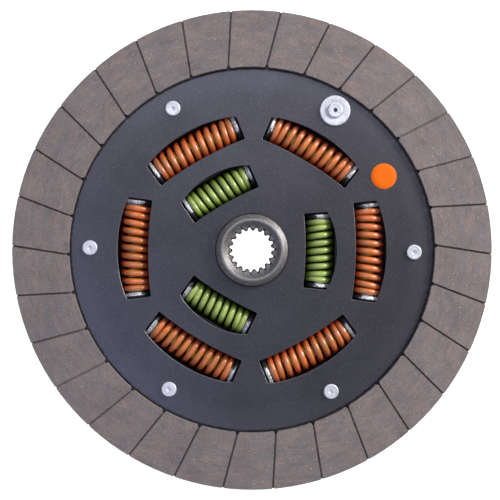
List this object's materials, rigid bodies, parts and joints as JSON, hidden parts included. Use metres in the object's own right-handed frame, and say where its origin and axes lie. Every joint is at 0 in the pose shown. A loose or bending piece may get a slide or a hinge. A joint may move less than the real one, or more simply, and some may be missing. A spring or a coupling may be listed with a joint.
{
  "type": "clutch disc",
  "caption": "Round dry clutch disc: ring-shaped grooved facings on a driven plate, splined hub with flange, and two rows of coil springs in windows as a torsion damper.",
  "frame": {"origin": "on the hub's axis, in the plane of the hub's rear end, on which the disc lies", "axes": "+Z along the hub's axis out of the front side; +X through the middle between two grooves, near the first outer spring's middle; +Y to the left of +X seen from the front"},
  "size_m": [0.33, 0.33, 0.048],
  "materials": {
    "hub_steel": "machined and phosphated steel, satin",
    "plate_black": "black oxide on pressed sheet steel, satin",
    "facing": "moulded organic friction lining, matte",
    "friction": "moulded friction material, matte",
    "washer_steel": "bare sheet steel",
    "spring_orange": "orange paint on spring wire, glossy",
    "spring_olive": "olive yellow paint on spring wire, glossy",
    "spring_green": "light green paint on spring wire, glossy",
    "zinc": "bright zinc plate",
    "sticker_orange": "plain orange paper dot"
  },
  "bodies": {
    "hub": {"hub": "hub_steel"},
    "disc": {"driven_plate": "plate_black", "retainer_plate": "plate_black", "front_facing": "facing", "rear_facing": "facing", "front_friction_washer": "friction", "thrust_washer": "washer_steel", "rear_friction_washer": "friction", "cone_washer": "washer_steel", "stop_pin_1": "zinc", "stop_pin_2": "zinc", "stop_pin_3": "zinc", "stop_pin_4": "zinc", "stop_pin_5": "zinc", "stop_pin_6": "zinc", "balance_weight": "zinc", "sticker": "sticker_orange"},
    "springs": {"outer_spring_1": "spring_orange", "outer_spring_2": "spring_orange", "outer_spring_3": "spring_orange", "outer_spring_4": "spring_orange", "outer_spring_5": "spring_orange", "outer_spring_6": "spring_orange", "nested_spring_1": "spring_olive", "nested_spring_2": "spring_olive", "nested_spring_3": "spring_olive", "nested_spring_4": "spring_olive", "nested_spring_5": "spring_olive", "nested_spring_6": "spring_olive", "inner_spring_1": "spring_green", "inner_spring_2": "spring_green", "inner_spring_3": "spring_green"}
  },
  "joints": [
    {"name": "damper", "type": "hinge", "parent": "hub", "child": "disc", "pos_m": [0, 0, 0.0287], "axis": [0, 0, 1], "range_deg": [-7, 7], "stiffness_Nm_per_rad": 5700},
    {"name": "springs_follow", "type": "hinge", "parent": "hub", "child": "springs", "pos_m": [0, 0, 0.0287], "axis": [0, 0, 1], "range_deg": [-3.5, 3.5], "deforming": ["outer_spring_1", "outer_spring_2", "outer_spring_3", "outer_spring_4", "outer_spring_5", "outer_spring_6", "nested_spring_1", "nested_spring_2", "nested_spring_3", "nested_spring_4", "nested_spring_5", "nested_spring_6", "inner_spring_1", "inner_spring_2", "inner_spring_3"]}
  ],
  "couplings": [
    {"joint": "springs_follow", "follows": "damper", "ratio": 0.5}
  ]
}
